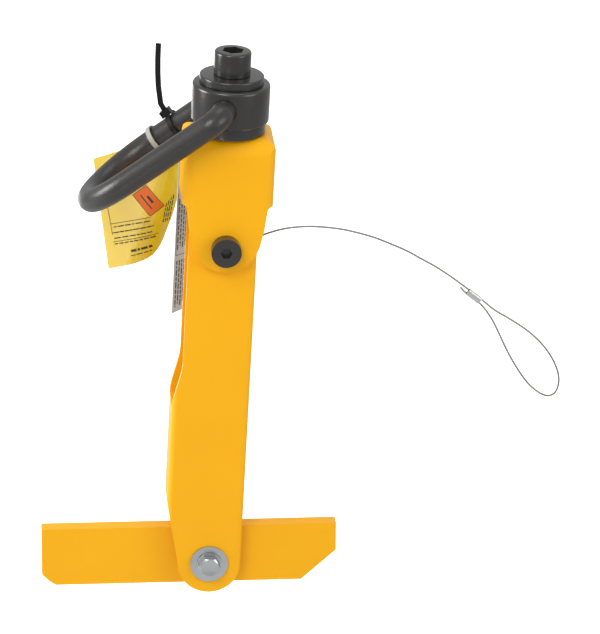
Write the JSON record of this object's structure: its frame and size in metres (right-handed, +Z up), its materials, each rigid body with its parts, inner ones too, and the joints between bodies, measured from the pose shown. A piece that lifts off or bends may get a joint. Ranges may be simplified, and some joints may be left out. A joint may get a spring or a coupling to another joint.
{
  "type": "toggle plate lifting clamp",
  "caption": "Plate lifting clamp with a swivel hoist ring and bail, a yoke, a hanging tube arm, a folding toggle bar and a wire trip cable.",
  "frame": {"origin": "the point where the hoist ring's swivel axis crosses the bail's pin axis", "axes": "+Z up along the hanging arm, +X towards the toggle bar's short end, -Y towards the bolt heads"},
  "size_m": [0.512, 0.1861, 0.5678],
  "materials": {
    "yellow_paint": "gloss paint",
    "black_oxide": "black oxide",
    "zinc": "zinc plated",
    "wire_rope": "stranded wire",
    "aluminium": "swaged",
    "black_nylon": "satin",
    "grey_nylon": "satin",
    "yellow_vinyl": "gloss",
    "silver_film": "satin",
    "brass": "satin"
  },
  "bodies": {
    "yoke_body": {"yoke": "yellow_paint", "hoist_washer": "black_oxide", "hoist_bushing": "black_oxide", "hoist_bolt": "black_oxide", "hoist_nut_washer": "black_oxide", "hoist_nut": "black_oxide", "shoulder_bolt": "black_oxide", "shoulder_washer": "zinc", "shoulder_nut": "zinc"},
    "ring_body": {"hoist_ring_body": "black_oxide"},
    "bail_body": {"bail": "black_oxide", "zip_tie_black": "black_nylon", "zip_tie_grey": "grey_nylon"},
    "tag_body": {"hang_tag": "yellow_vinyl", "tag_eyelet": "brass", "silver_label": "silver_film"},
    "arm_body": {"arm": "yellow_paint", "arm_pivot_sleeve": "zinc", "toggle_pivot_bolt": "zinc", "pivot_washer_front": "zinc", "pivot_lock_washer": "zinc", "pivot_washer_back": "zinc", "pivot_lock_nut": "zinc", "pivot_spacer_front": "zinc", "pivot_spacer_back": "zinc", "trip_cable_inner": "wire_rope", "trip_cable": "wire_rope", "cable_sleeve": "aluminium"},
    "toggle_body": {"toggle_bar": "yellow_paint", "toggle_bushing": "zinc", "cable_anchor_screw": "zinc"}
  },
  "joints": [
    {"name": "ring_swivel", "type": "hinge", "parent": "yoke_body", "child": "ring_body", "pos_m": [0, 0, 0], "axis": [0, 0, 1], "range_deg": [0, 28]},
    {"name": "bail_hinge", "type": "hinge", "parent": "ring_body", "child": "bail_body", "pos_m": [0, 0, 0], "axis": [0.2419, 0.9703, 0], "range_deg": [0, 250], "deforming": ["hang_tag", "silver_label", "tag_eyelet"]},
    {"name": "tag_hang", "type": "hinge", "parent": "bail_body", "child": "tag_body", "pos_m": [-0.05784, 0.07832, -0.06299], "axis": [0.2419, 0.9703, 0], "range_deg": [-255, 5]},
    {"name": "arm_hinge", "type": "hinge", "parent": "yoke_body", "child": "arm_body", "pos_m": [0, 0, -0.1416], "axis": [0, 1, 0], "range_deg": [-32, 60]},
    {"name": "toggle_hinge", "type": "hinge", "parent": "arm_body", "child": "toggle_body", "pos_m": [0, 0, -0.4816], "axis": [0, -1, 0], "range_deg": [-25, 88], "deforming": ["trip_cable_inner"]}
  ],
  "couplings": [
    {"joint": "tag_hang", "follows": "bail_hinge", "ratio": -1}
  ]
}
